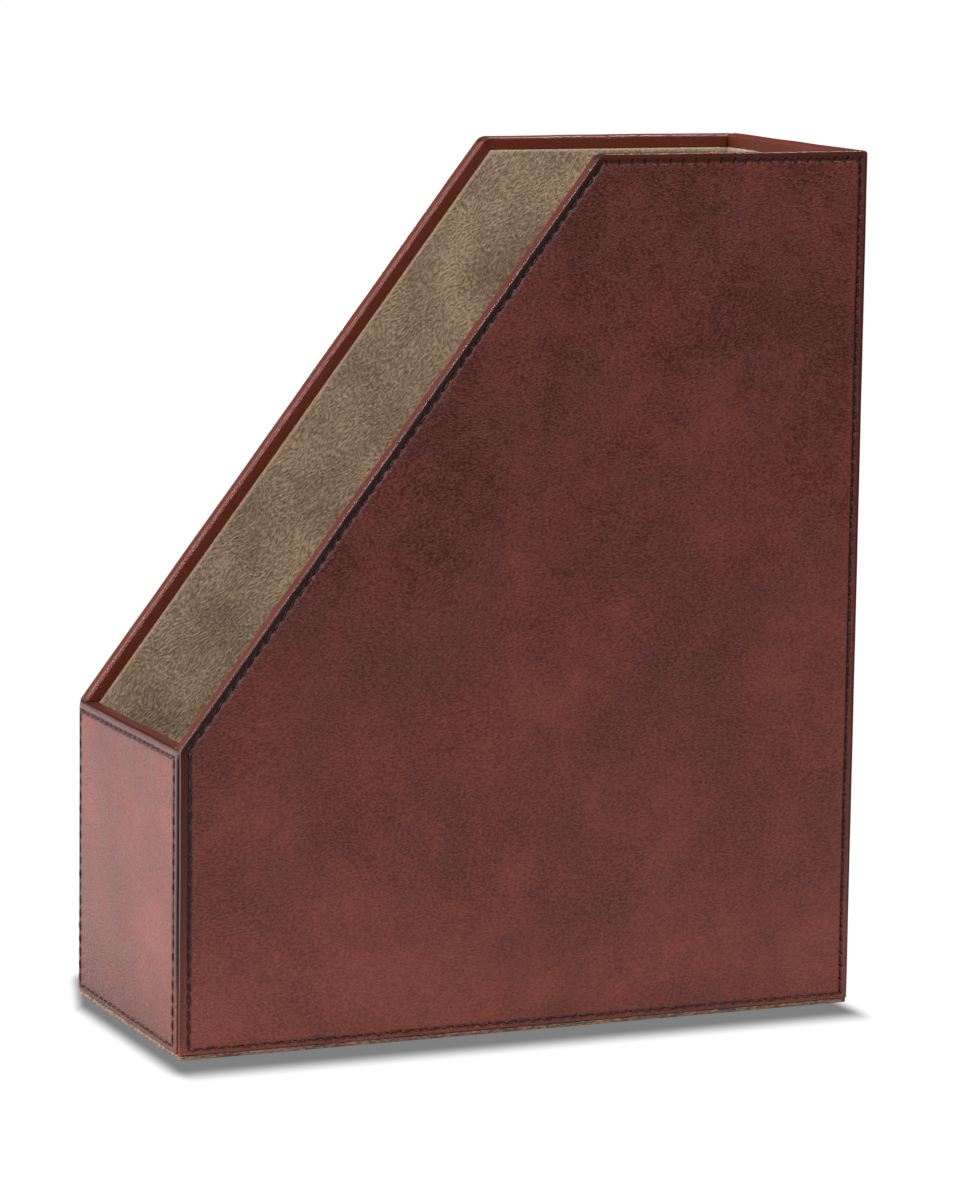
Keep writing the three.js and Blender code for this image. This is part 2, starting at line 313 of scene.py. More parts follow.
class Wall:
    """A wall laid flat. Its corners run counter-clockwise, each with its radius and the edge it starts."""

    front = 0  # the sign of x at which a side wall's rim comes down to the front wall's
    rim = END_RIM

    def __init__(self, name, outwards, distance, half_length, corners, turn_in_end, lining_end):
        up = Vector((0, 0, 1))
        turn = Matrix((up.cross(outwards), up, outwards)).transposed().to_4x4()
        self.name = name
        self.place = Matrix.Translation(outwards * distance) @ turn
        self.half_length = half_length
        self.corners = [Vector(corner) for corner, radius, edge in corners]
        self.radii = [radius for corner, radius, edge in corners]
        edges = [edge for corner, radius, edge in corners]
        self.kinds, self.stitch_insets, self.finishes, self.styles, self.meetings = zip(*edges)
        self.turn_in_end = turn_in_end  # how far from the upright edges the turned-in strip stops
        self.lining_end = lining_end  # and the lining
        self.low = Vector((-half_length, FOOT, 0))
        self.high = Vector((half_length, max(corner.y for corner in self.corners), 0))
        self.stitches = [round((end - start).length / PITCH) for start, end in self.runs()]

    def by_kind(self, foot, upright, rim):
        distances = {"foot": foot, "upright": upright, "rim": rim}
        return [distances[kind] for kind in self.kinds]

    def by_stitching(self, offset):
        return [inset + offset for inset in self.stitch_insets]

    def inset(self, distances):
        """The corners once each edge has moved in by its own distance."""
        lines = []
        for i, corner in enumerate(self.corners):
            along = (self.corners[(i + 1) % len(self.corners)] - corner).normalized()
            lines.append((corner + Vector((-along.y, along.x)) * distances[i], along))
        moved = []
        for i, (point, along) in enumerate(lines):
            before, before_along = lines[i - 1]
            reach = (point - before).cross(along) / before_along.cross(along)
            moved.append(before + before_along * reach)
        return moved

    def arcs(self, distances):
        """The same corners, rounded, each as a row of points."""
        corners = self.inset(distances)
        arcs = []
        for i, corner in enumerate(corners):
            radius = max(self.radii[i] - min(distances[i], distances[i - 1]), SHARPEST_RADIUS)
            back = (corners[i - 1] - corner).normalized()
            ahead = (corners[(i + 1) % len(corners)] - corner).normalized()
            half_angle = back.angle(ahead) / 2
            bisector = (back + ahead).normalized()
            centre = corner + bisector * (radius / sin(half_angle))
            sweep = pi - 2 * half_angle
            start = atan2(-bisector.y, -bisector.x) - sweep / 2
            turns = [start + sweep * step / CORNER_STEPS for step in range(CORNER_STEPS + 1)]
            arcs.append([centre + radius * Vector((cos(turn), sin(turn))) for turn in turns])
        return arcs

    def runs(self):
        """The straight runs of the line of stitches."""
        arcs = self.arcs(self.stitch_insets)
        return [(arc[-1], arcs[(i + 1) % len(arcs)][0]) for i, arc in enumerate(arcs)]

    def outline(self, distances):
        """Points all round, as many at every inset. Each stitch of a straight run has the same number."""
        arcs = self.arcs(distances)
        points = []
        for i, (arc, stitches) in enumerate(zip(arcs, self.stitches)):
            following = arcs[(i + 1) % len(arcs)][0]
            shares = [(stitch + along) / stitches for stitch in range(stitches) for along in POINTS_ALONG]
            points += arc + [arc[-1].lerp(following, share) for share in shares[1:]]
        return points

    def holes(self):
        """The number of the outline's point at each needle hole, and the way of stitching there."""
        found, start = [], 0
        for stitches, style in zip(self.stitches, self.styles):
            start += CORNER_STEPS
            found += [(start + stitch * len(POINTS_ALONG), style) for stitch in range(stitches + 1)]
            start += stitches * len(POINTS_ALONG)
        return found

    def edge_distances(self, point):
        """How far in a point lies from each edge."""
        found = []
        for i, corner in enumerate(self.corners):
            along = (self.corners[(i + 1) % len(self.corners)] - corner).normalized()
            found.append(along.cross(Vector((point.x, point.y)) - corner))
        return found

    def nearest(self, point, kind):
        return min(d for d, its_kind in zip(self.edge_distances(point), self.kinds) if its_kind == kind)

    def inside_stitching(self, point):
        """How far in from the nearest line of stitches a point lies."""
        return min(d - inset for d, inset in zip(self.edge_distances(point), self.stitch_insets))

    def blend(self, point, values):
        """Of a value for each edge, the one at a point: mostly that of the nearest edge."""
        weights = [1 / max(distance, CLEARANCE) ** 3 for distance in self.edge_distances(point)]
        return sum(weight * value for weight, value in zip(weights, values)) / sum(weights)

    def press(self, point):
        """How hard the crease is pressed, as a share."""
        pressed = self.blend(point, [style.press for style in self.styles])
        return growing(PRESS_AT_FOOT, PRESS_HEIGHTS, point.y) * pressed

    def unevenness(self, point, length):
        """Smooth noise over the wall, of lumps of a length."""
        shift = self.place.translation * 9  # gives each wall a pattern of its own
        return noise.noise_vector((Vector((point.x, point.y, 0)) + shift) / length)

    def waver(self, point):
        """How far a hand-cut and hand-stitched line strays."""
        stray = self.unevenness(point, WAVER.length) * WAVER.reach
        return Vector((stray.x, stray.y, 0))

    def stand_up(self, piece):
        """Puts a flat piece in its place, with its object at the origin."""
        only(piece)
        piece.matrix_world = self.place @ piece.matrix_world
        bpy.ops.object.transform_apply(location=True, rotation=True, scale=True)


def knee(front):
    """Where the rim of a side wall turns from level to slanted, if its front lies at this sign of x."""
    return Vector((-front * (HALF_DEPTH - LEVEL_RIM), TOP))


def side_wall(name, outwards, front, front_meeting=MITRED):
    """A side wall, its rim level at the back and slanted down to the front, which lies at this sign of x."""
    foot = Edge("foot", 2.2 * MM, 0, FINE)
    at_back = Edge("upright", 3.3 * MM, 0.2, PULLED)
    level = Edge("rim", 3.0 * MM, 0.75, TICKED)
    slanted = Edge("rim", 2.7 * MM, 1, DASHED)
    at_front = Edge("upright", 3.65 * MM, 0.75, BOLD, front_meeting)
    if front < 0:
        corners = [
            ((-HALF_DEPTH, FOOT), NEAT_CORNER, foot),
            ((HALF_DEPTH, FOOT), ROUND_CORNER, at_back),
            ((HALF_DEPTH, TOP), ROUND_CORNER, level),
            (knee(front), KNEE_CORNER, slanted),
            ((-HALF_DEPTH, FRONT_TOP), NEAT_CORNER, at_front),
        ]
    else:
        corners = [
            ((-HALF_DEPTH, FOOT), NEAT_CORNER, foot),
            ((HALF_DEPTH, FOOT), NEAT_CORNER, at_front),
            ((HALF_DEPTH, FRONT_TOP), NEAT_CORNER, slanted),
            (knee(front), KNEE_CORNER, level),
            ((-HALF_DEPTH, TOP), ROUND_CORNER, at_back),
        ]
    wall = Wall(name, outwards, HALF_WIDTH, HALF_DEPTH, corners, LINING_FACE + CLEARANCE, LINING_FACE)
    wall.front, wall.rim = front, SIDE_RIM
    return wall


def end_wall(name, outwards, height, style, left, right):
    """The front or back wall, which fits between the side walls behind its face, with its upright edges."""
    corners = [
        ((-HALF_WIDTH, FOOT), NEAT_CORNER, Edge("foot", 2.2 * MM, 0, style)),
        ((HALF_WIDTH, FOOT), NEAT_CORNER, right),
        ((HALF_WIDTH, height), NEAT_CORNER, Edge("rim", 3.6 * MM, 0.3, style)),
        ((-HALF_WIDTH, height), NEAT_CORNER, left),
    ]
    inner = LINING_BACK + CLEARANCE
    return Wall(name, outwards, HALF_DEPTH, HALF_WIDTH, corners, inner, inner)


far_left = Edge("upright", 2 * MM, 0.7, CLEAR)
near_right = Edge("upright", 7.2 * MM, 0.45, CLEAR, SET_BACK)
neat = Edge("upright", 3.7 * MM, 0.2, FINE)
WALLS = [
    side_wall("right_side", Vector((1, 0, 0)), front=-1, front_meeting=PROUD),
    side_wall("left_side", Vector((-1, 0, 0)), front=1),
    end_wall("front", Vector((0, -1, 0)), FRONT_TOP, CLEAR, left=far_left, right=near_right),
    end_wall("back", Vector((0, 1, 0)), TOP, FINE, left=neat, right=neat),
]


# Covers


def cover_ring(wall, depth, foot, rim):
    """A ring round the edge of a cover. Up to near the rim, its upright edges stand back from the corners."""
    lift = min(max(BORDER_DEPTH + FOLD_RADIUS - depth, 0) / FOLD_RADIUS, 1)
    fold = FOLD_RADIUS * (1 - cos(asin(lift)))
    closed, opened = [], []
    for kind, meeting in zip(wall.kinds, wall.meetings):
        inset = {"foot": foot, "upright": meeting.mitre * (depth + CLEARANCE / 4), "rim": rim}[kind]
        gap = meeting.gap + fold if kind == "upright" and depth < LIP_DEPTH else 0
        closed.append(max(inset, min(gap, MITRED.gap + fold)))
        opened.append(max(inset, gap))
    points = []
    for shut, back in zip(wall.outline(closed), wall.outline(opened)):
        below_rim = smoothstep(*GAP_OPENS, wall.nearest(shut, "rim"))
        points.append(shut.lerp(back, below_rim))
    return raised(points, -depth)


def cover_face(wall):
    """The folded edge of a cover, then its rounding, its crease with the needle holes, and its face."""
    shell = Shell(f"{wall.name}_cover", cover_ring(wall, LIP_DEPTH, 0, 0))
    for turn in (0, *quarter_turns()):
        depth = BORDER_DEPTH + wall.rim.radius - wall.rim.radius * sin(turn)
        back = 1 - cos(turn)
        shell.grow(cover_ring(wall, depth, FOLD_RADIUS * back, wall.rim.radius * back))
    for offset, depth in CREASE:
        outline = wall.outline(wall.by_stitching(offset))
        points = [Vector((p.x, p.y, -depth * wall.press(p))) for p in outline]
        for number, style in wall.holes():
            if abs(offset) <= style.pull:
                points[number % len(points)].z = -HOLE_DEPTH
        shell.grow(points)
    shell.fill()
    shell.grid(FIELD_GRID, wall.low, wall.high)
    return shell


def turn_in(shell, wall):
    """Takes a cover over the rim and down inside. A side wall's strip is cut away over the front wall."""
    rim_end = LIP_DEPTH + CLEARANCE if wall.front else LINING_FACE + CLEARANCE

    def at_low_end(p, end):
        return p.x * wall.front > wall.half_length - end - POINT_SLACK

    def row(inset, depth, end):
        reach = wall.half_length - end
        points = []
        for p in wall.outline(wall.by_kind(0, 0, inset)):
            x, y = min(max(p.x, -reach), reach), p.y
            if wall.front and at_low_end(p, wall.turn_in_end):
                x, y = p.x, max(y, FRONT_TOP + SKIN)
                x = min(x * wall.front, wall.half_length - CLEARANCE) * wall.front
            points.append(Vector((x, y, -depth)))
        return points

    def rim_at(depth, end):
        def wanted(p):
            on_rim = abs(p.z + depth) < SAME and wall.nearest(p, "rim") < ROUND_CORNER
            over_front = wall.front and at_low_end(p, end) and p.y > FRONT_TOP
            return on_rim and (wall.nearest(p, "upright") > end - POINT_SLACK or over_front)

        return wanted

    shell.select(rim_at(LIP_DEPTH, rim_end))
    shell.grow(row(0, TURN_IN_START, rim_end))
    shell.select(rim_at(TURN_IN_START, wall.turn_in_end))
    for turn in quarter_turns():
        depth = TURN_IN_START + TURN_IN_RADIUS * sin(turn)
        shell.grow(row(TURN_IN_RADIUS * (1 - cos(turn)), depth, wall.turn_in_end))
    shell.grow(row(LINING_GAP - CLEARANCE, TURN_IN_BACK, wall.turn_in_end))


def on_inner_rounding(wall, point):
    rounding = TURN_IN_START + CLEARANCE / 2 < -point.z < TURN_IN_BACK
    return rounding and wall.nearest(point, "rim") < 0.9 * TURN_IN_RADIUS


def face_marks(wall, point):
    """How burnished, darkened in the crease (part dye, part painted shade) and rubbed a point of a cover's
    face or edge is.
    """
    inwards = wall.inside_stitching(point)
    burnish = wall.blend(point, wall.finishes) * growing(BURNISH_AT_FOOT, WORN_HEIGHTS, point.y)
    burnish *= 1 - smoothstep(*BURNISH_END, inwards)
    on_edge = min(wall.edge_distances(point)) < wall.rim.radius + CLEARANCE / 2
    if on_edge and point.y > DULL_FOOT:
        burnish = max(burnish, wall.rim.edge_burnish)

    # The crease is darkened: part dye, part painted shade
    ink = wall.blend(point, [style.ink for style in wall.styles])
    ink *= growing(INK_AND_SHADE_AT_FOOT, WORN_HEIGHTS, point.y)
    ink *= (1 + wall.unevenness(point, MOTTLE_LENGTH).z) * (1 - smoothstep(*INK_AND_SHADE_END, abs(inwards)))
    # Painted shade: the needle holes are made black
    if point.z < -HOLE_DEPTH + CLEARANCE / 2:
        ink = 1

    # A side wall is rubbed beside the stitching of its back edge
    rub_and_highlight = 0
    if wall.nearest(point, "upright") < RUBBED_STRIP and point.x * wall.front < 0:
        shoulder = smoothstep(*RUB_START, inwards) * (1 - smoothstep(*RUB_END, inwards))
        rub_and_highlight = shoulder * (RUB + RUB_UNEVENNESS * wall.unevenness(point, RUB_LENGTH).x)
    return burnish, ink, rub_and_highlight


def painted_shading_at(wall, point):
    """Painted light and shade by height: an end wall darker at its foot, a side wall lighter low down and
    darker near its rim.
    """
    if not wall.front:
        return smoothstep(*END_SHADING_HEIGHTS, point.y) - END_DARKENING
    near_rim = 1 - smoothstep(0, RIM_STRIP, wall.nearest(point, "rim"))
    return 1 - smoothstep(*SIDE_SHADING_HEIGHTS, point.y) - DARKER_NEAR_RIM * near_rim


MARKS = ("burnish", "ink", "rub_and_highlight", "painted_shading")


def marks_at(wall, point):
    """The marks on a cover at a point, which its material reads."""
    burnish, ink, rub_and_highlight = wall.rim.burnish, 0, 0
    if point.z > -LIP_DEPTH + CLEARANCE / 2:
        burnish, ink, rub_and_highlight = face_marks(wall, point)
    # The groove between folded upright edges is darkened below a depth, fading out towards the floor
    for distance, kind, meeting in zip(wall.edge_distances(point), wall.kinds, wall.meetings):
        in_groove = kind == "upright" and distance < max(LIP_DEPTH, meeting.gap) + FOLD_RADIUS
        if in_groove and point.z < -meeting.inked and wall.nearest(point, "rim") > MM:
            ink = smoothstep(*GROOVE_HEIGHTS, point.y)
    # Painted shade of the pleat: darker and polished round the knee, inside
    if wall.front and point.z < -LIP_DEPTH:
        from_knee = (point.xy - knee(wall.front)).length
        burnish = max(burnish, 1 - smoothstep(*KNEE_PLEAT_SHADE, from_knee))
    # Painted highlight: the rounding into the inside is burnished and made lighter red
    if on_inner_rounding(wall, point):
        burnish, rub_and_highlight = ROUNDED_BURNISH, ROUNDED_HIGHLIGHT
    return burnish, min(ink, 1), max(rub_and_highlight, 0), painted_shading_at(wall, point)


def settled(wall, point):
    """Where a point of a cover ends up once the field has swelled and the handwork has strayed."""
    point = point.copy()
    if point.z > 0:
        inwards = wall.inside_stitching(point)
        ripple = wall.unevenness(point, RIPPLE.length).z * smoothstep(*RIPPLE_RISE, inwards)
        point.z += PILLOW * smoothstep(*PILLOW_RISE, inwards) + RIPPLE.reach * ripple
    if on_inner_rounding(wall, point):
        point += wall.unevenness(point, CRIMP.length) * CRIMP.reach
    return point + wall.waver(point)


def make_cover(wall):
    """One piece of leather: a pillowed face with a pressed crease, the rim, and the strip turned in."""
    shell = cover_face(wall)
    turn_in(shell, wall)
    cover = shell.finish(up=1)
    marks = zip(*[marks_at(wall, vert.co) for vert in cover.data.vertices])
    for mark, values in zip(MARKS, marks):
        add_attribute(cover, mark, values)
    for vert in cover.data.vertices:
        vert.co = settled(wall, vert.co)
    add_modifier(cover, "SOLIDIFY", thickness=SKIN, offset=-1)
    smooth(cover)
    wall.stand_up(cover)
    return cover


# Stitching


def make_stitch(pitch, style):
    """One stitch of round thread: it rises from its hole on one side of the line and sinks into the next."""
    bpy.ops.object.select_all(action="DESELECT")
    turn = (0, pi / 2, 0)
    bpy.ops.mesh.primitive_cylinder_add(vertices=8, radius=style.radius, depth=pitch, rotation=turn)
    stitch = bpy.context.object
    bpy.ops.object.transform_apply(location=True, rotation=True, scale=True)
    bpy.ops.object.mode_set(mode="EDIT")
    for cut in range(1, STITCH_CUTS):
        bpy.ops.mesh.select_all(action="SELECT")
        bpy.ops.mesh.bisect(plane_co=(pitch * (cut / STITCH_CUTS - 0.5), 0, 0), plane_no=(1, 0, 0))
    mesh = bmesh.from_edit_mesh(stitch.data)
    for vert in mesh.verts:
        share = vert.co.x / (pitch / 2)  # -1 at one end, 1 at the other
        thin = 1 - STITCH_TAPER * share ** 2
        rise = STITCH_RISE - STITCH_DIVE * share ** 4
        vert.co.y = vert.co.y * thin + style.stray * share
        vert.co.z = vert.co.z * thin + rise * style.radius - style.sunk
    bpy.ops.mesh.select_all(action="SELECT")
    bpy.ops.transform.translate(value=(pitch / 2, 0, 0))
    bpy.ops.object.mode_set(mode="OBJECT")
    return stitch


def make_stitching(wall):
    """The stitches of one thread, all round a cover."""
    runs = []
    for (start, end), stitches, style in zip(wall.runs(), wall.stitches, wall.styles):
        along = end - start
        pitch = along.length / stitches
        run = make_stitch(pitch, style)
        spacing = {"use_relative_offset": False, "use_constant_offset": True}
        add_modifier(run, "ARRAY", count=stitches, constant_offset_displace=(pitch, 0, 0), **spacing)
        turn = Matrix.Rotation(atan2(along.y, along.x), 4, "Z")
        run.matrix_world = Matrix.Translation((start.x, start.y, 0)) @ turn
        bpy.ops.object.transform_apply(location=True, rotation=True, scale=True)
        runs.append(run)
    only(runs[0])
    for run in runs:
        run.select_set(True)
    bpy.ops.object.join()
    stitching = runs[0]
    stitching.name = stitching.data.name = f"{wall.name}_thread"
    for vert in stitching.data.vertices:
        vert.co.z -= CREASE_DEPTH * wall.press(vert.co)
        vert.co += wall.waver(vert.co) + wall.unevenness(vert.co, WOBBLE.length) * WOBBLE.reach
    smooth(stitching, angle=60)
    wall.stand_up(stitching)
    return stitching


# Linings and sole


def make_lining(wall):
    """A suede sheet on the inside of a wall, its cut edge softly rounded."""

    def ring(extra, depth):
        insets = wall.by_kind(LINING_FOOT + extra, wall.lining_end + extra, LINING_GAP + extra)
        return raised(wall.outline(insets), -depth)

    shell = Shell(f"{wall.name}_suede", ring(0, LINING_FACE))
    shell.grow(ring(0, LINING_BACK - SUEDE_RADIUS))
    for turn in quarter_turns():
        depth = LINING_BACK - SUEDE_RADIUS + SUEDE_RADIUS * sin(turn)
        shell.grow(ring(SUEDE_RADIUS * (1 - cos(turn)), depth))
    shell.grow(*[ring(extra, LINING_BACK) for extra in SUEDE_RINGS])
    shell.fill()
    shell.grid(SUEDE_GRID, wall.low, wall.high)
    shell.fill(-LINING_FACE)
    lining = shell.finish(up=-1)
    # Painted highlight along the lining's top edge, below the rim
    down = [wall.nearest(vert.co, "rim") - LINING_GAP for vert in lining.data.vertices]
    add_attribute(lining, "edge_highlight", [1 - smoothstep(*SUEDE_EDGE_HIGHLIGHT, distance) for distance in down])
    smooth(lining)
    wall.stand_up(lining)
    return lining


def rectangle(half_width, half_depth, radius, spacing):
    """Points round a rectangle with rounded corners, counter-clockwise."""
    arcs = []
    for i, (side, end) in enumerate([(1, 1), (-1, 1), (-1, -1), (1, -1)]):
        centre = Vector((side * (half_width - radius), end * (half_depth - radius)))
        turns = [pi / 2 * (i + step / CORNER_STEPS) for step in range(CORNER_STEPS + 1)]
        arcs.append([centre + radius * Vector((cos(turn), sin(turn))) for turn in turns])
    outline = []
    for i, arc in enumerate(arcs):
        following = arcs[(i + 1) % len(arcs)][0]
        steps = round((following - arc[-1]).length / spacing)
        outline += arc + [arc[-1].lerp(following, step / steps) for step in range(1, steps)]
    return outline


def make_sheet(name, node, corner_radius, edge_radius, spacing, reach):
    """A flat sheet in the place of a node, with a rounded cut edge that strays by up to a reach."""
    low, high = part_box(node)
    outline = rectangle(high.x, high.y, corner_radius, spacing)

    def ring(inset, height):
        shares = (1 - inset / high.x, 1 - inset / high.y)
        points = []
        for p in outline:
            stray = noise.noise_vector(Vector((p.x, p.y, height * 2)) / SOLE_WAVER.length) * reach
            points.append(Vector((p.x * shares[0] + stray.x, p.y * shares[1] + stray.y, height)))
        return points

    shell = Shell(name, ring(edge_radius, low.z))
    for turn in quarter_turns():
        shell.grow(ring(edge_radius * (1 - sin(turn)), low.z + edge_radius * (1 - cos(turn))))
    for turn in (0, *quarter_turns()):
        shell.grow(ring(edge_radius * (1 - cos(turn)), high.z - edge_radius * (1 - sin(turn))))
    shell.fill()
    shell.fill(low.z)
    piece = shell.finish(up=1)
    smooth(piece)
    return piece


# Materials


def linear(colour):
    """An sRGB hex colour as linear red, green, blue and alpha."""
    channels = [int(colour[i:i + 2], 16) / 255 for i in (1, 3, 5)]
    return (*[c / 12.92 if c <= 0.04045 else ((c + 0.055) / 1.055) ** 2.4 for c in channels], 1)


def add_node(tree, kind, inputs=None, stops=(), **settings):
    """Adds a node. Each input is given a value, or the socket that feeds it, and a ramp its colours."""
    node = tree.nodes.new(kind)
    for setting, value in settings.items():
        setattr(node, setting, value)
    for socket, value in (inputs or {}).items():
        if isinstance(value, bpy.types.NodeSocket):
            tree.links.new(value, node.inputs[socket])
        else:
            node.inputs[socket].default_value = value
    while stops and len(node.color_ramp.elements) < len(stops):
        node.color_ramp.elements.new(0.5)
    for number, (position, colour) in enumerate(stops):
        node.color_ramp.elements[number].position = position
        node.color_ramp.elements[number].color = linear(colour)
    return node


FACTOR, FROM, TO, MIXED = 0, 6, 7, 2  # sockets of a colour Mix node


def new_material(name):
    material = bpy.data.materials.new(name)
    material.use_nodes = True
    tree = material.node_tree
    place = add_node(tree, "ShaderNodeTexCoord").outputs["Object"]
    return material, tree, tree.nodes["Principled BSDF"], place


def weighed(tree, start, parts):
    """A number, and to it each part times its weight."""
    for part, weight in parts:
        inputs = {0: part, 1: weight, 2: start}
        start = add_node(tree, "ShaderNodeMath", inputs, operation="MULTIPLY_ADD").outputs[0]
    return start


def lie_of_hide(tree, place, size, swing, turn, stretch):
    """Coordinates that swing round with the lie of a hide, and these turned and stretched along its grain."""
    inputs = {"Vector": place, "Scale": 1 / size, "Detail": 1.0}
    lie = add_node(tree, "ShaderNodeTexNoise", inputs).outputs["Color"]
    inputs = {0: lie, 1: (swing, swing, swing), 2: place}
    bent = add_node(tree, "ShaderNodeVectorMath", inputs, operation="MULTIPLY_ADD").outputs[0]
    inputs = {"Vector": bent, "Rotation": [radians(angle) for angle in turn], "Scale": stretch}
    return bent, add_node(tree, "ShaderNodeMapping", inputs, vector_type="TEXTURE").outputs[0]


def waxed_leather():
    """Vegetable-tanned hide, dyed by hand and waxed: cloudy red-brown, satin, with a fine wrinkled grain."""
    material, tree, shader, place = new_material("waxed_vegetable_tanned_leather")
    marks = [add_node(tree, "ShaderNodeAttribute", attribute_name=mark) for mark in MARKS]
    burnish, ink, rub_and_highlight, painted_shading = [mark.outputs["Fac"] for mark in marks]

    # Clouds of dye, with light and shade painted in by height
    inputs = {"Vector": place, "Scale": 1 / (48 * MM), "Detail": 3.0}
    clouds = add_node(tree, "ShaderNodeTexNoise", inputs).outputs["Fac"]
    inputs = {"Vector": place, "Scale": 1 / (11 * MM), "Detail": 4.0}
    blotches = add_node(tree, "ShaderNodeTexNoise", inputs).outputs["Fac"]
    tone = weighed(tree, -0.02, [(clouds, 0.62), (blotches, 0.26), (painted_shading, 0.12)])
    browns = [(0.3, "#440301"), (0.48, "#5e1a0d"), (0.64, "#752c20")]
    dyed = add_node(tree, "ShaderNodeValToRGB", {"Fac": tone}, browns).outputs["Color"]

    # The grain: short flat-lying wrinkles, some half a millimetre apart, with pebbles between them
    bent, turned = lie_of_hide(tree, place, 60 * MM, 22 * MM, (8, -12, 0), (1.9, 2.4, 1))
    inputs = {"Vector": turned, "Scale": 1 / (0.52 * MM), "Detail": 2.0}
    wrinkles = add_node(tree, "ShaderNodeTexNoise", inputs).outputs["Fac"]
    inputs = {"Vector": bent, "Scale": 1 / (0.7 * MM)}
    pebbles = add_node(tree, "ShaderNodeTexVoronoi", inputs, feature="SMOOTH_F1").outputs["Distance"]
    grain = weighed(tree, wrinkles, [(pebbles, -0.15)])

    # Painted sheen: the tops of the grain are made paler, adding some red, green and blue
    inputs = {"Value": grain, "From Min": 0.31, "From Max": 0.58}
    sheen_on_tops = add_node(tree, "ShaderNodeMapRange", inputs).outputs["Result"]
    inputs = {0: sheen_on_tops, 1: (0.088, 0.036, 0.022), 2: dyed}
    edged = add_node(tree, "ShaderNodeVectorMath", inputs, operation="MULTIPLY_ADD").outputs[0]

    # Edges are burnished redder and then darker, some are rubbed, the rounding into the inside is made
    # lighter red as a painted highlight, the groove is darkened, and the crease is darkened part by dye and
    # part as painted shade
    redder = add_node(tree, "ShaderNodeMapRange", {"Value": burnish, "From Max": 0.5}).outputs["Result"]
    darker = add_node(tree, "ShaderNodeMapRange", {"Value": burnish, "From Min": 0.5}).outputs["Result"]
    edgings = [(redder, "#62230f"), (darker, "#36160f"), (rub_and_highlight, "#8a2e1c"), (ink, "#160a07")]
    for share, colour in edgings:
        inputs = {FACTOR: share, FROM: edged, TO: linear(colour)}
        edged = add_node(tree, "ShaderNodeMix", inputs, data_type="RGBA").outputs[MIXED]

    # Burnishing polishes the leather and flattens its grain, and the darkening in the crease and the groove
    # dulls it
    inputs = {"Value": burnish, "To Min": 0.38, "To Max": 0.2}
    polish = add_node(tree, "ShaderNodeMapRange", inputs).outputs["Result"]
    inputs = {"Value": ink, "To Min": weighed(tree, polish, [(blotches, 0.16)]), "To Max": 0.75}
    roughness = add_node(tree, "ShaderNodeMapRange", inputs).outputs["Result"]
    inputs = {"Value": burnish, "To Min": 1.0, "To Max": 0.2}
    height = add_node(tree, "ShaderNodeMapRange", inputs).outputs["Result"]
    relief = add_node(tree, "ShaderNodeMath", {0: grain, 1: height}, operation="MULTIPLY").outputs[0]
    inputs = {"Height": relief, "Strength": 0.85, "Distance": 0.5 * MM}
    bump = add_node(tree, "ShaderNodeBump", inputs).outputs["Normal"]
    tree.links.new(edged, shader.inputs["Base Color"])
    tree.links.new(roughness, shader.inputs["Roughness"])
    tree.links.new(bump, shader.inputs["Normal"])
    return material


def split_suede():
    """Split hide brushed to a nap: matt, in short strokes that catch or lose the light as they lie."""
    material, tree, shader, place = new_material("brushed_split_suede")
    inputs = {"Vector": place, "Scale": 1 / (28 * MM), "Detail": 4.0}
    patches = add_node(tree, "ShaderNodeTexNoise", inputs).outputs["Fac"]
    _, turned = lie_of_hide(tree, place, 20 * MM, 8 * MM, (48, 0, 30), (1, 2.6, 1))
    inputs = {"Vector": turned, "Scale": 1 / (0.75 * MM), "Detail": 2.5}
    strokes = add_node(tree, "ShaderNodeTexNoise", inputs).outputs["Fac"]
    # Painted light and shade of the nap: the strokes lighten and darken the colour, as well as the bump
    tone = weighed(tree, -0.1, [(strokes, 0.75), (patches, 0.48)])
    greiges = [(0.34, "#6c5b47"), (0.5, "#937d63"), (0.66, "#b9a387")]
    dyed = add_node(tree, "ShaderNodeValToRGB", {"Fac": tone}, greiges).outputs["Color"]
    # Painted highlight: the lining is paler along its top edge, below the rim
    edge = add_node(tree, "ShaderNodeAttribute", attribute_name="edge_highlight").outputs["Fac"]
    inputs = {FACTOR: edge, FROM: dyed, TO: linear("#b09578")}
    edged = add_node(tree, "ShaderNodeMix", inputs, data_type="RGBA").outputs[MIXED]
    inputs = {"Height": strokes, "Strength": 0.9, "Distance": 1.2 * MM}
    bump = add_node(tree, "ShaderNodeBump", inputs).outputs["Normal"]
    tree.links.new(edged, shader.inputs["Base Color"])
    tree.links.new(bump, shader.inputs["Normal"])
    shader.inputs["Roughness"].default_value = 0.95
    shader.inputs["Specular IOR Level"].default_value = 0.2
    shader.inputs["Sheen Weight"].default_value = 0.25
    shader.inputs["Sheen Roughness"].default_value = 0.6
    return material


def waxed_thread():
    """Twisted linen thread drawn through dark wax: near black, with a dull shine painted on each strand as
    paler flecks.
    """
    material, tree, shader, place = new_material("waxed_linen_thread")
    inputs = {"Vector": place, "Scale": 1 / (0.9 * MM), "Detail": 3.0}
    fibres_and_shine = add_node(tree, "ShaderNodeTexNoise", inputs).outputs["Fac"]
    # Painted highlight: the strands' paler flecks stand in for their shine
    blacks = [(0.4, "#160d0a"), (0.54, "#271a15"), (0.66, "#54433c")]
    dyed = add_node(tree, "ShaderNodeValToRGB", {"Fac": fibres_and_shine}, blacks).outputs["Color"]
    inputs = {"Height": fibres_and_shine, "Strength": 0.6, "Distance": 0.2 * MM}
    bump = add_node(tree, "ShaderNodeBump", inputs).outputs["Normal"]
    tree.links.new(dyed, shader.inputs["Base Color"])
    tree.links.new(bump, shader.inputs["Normal"])
    shader.inputs["Roughness"].default_value = 0.5
    shader.inputs["Specular IOR Level"].default_value = 0.3
    return material


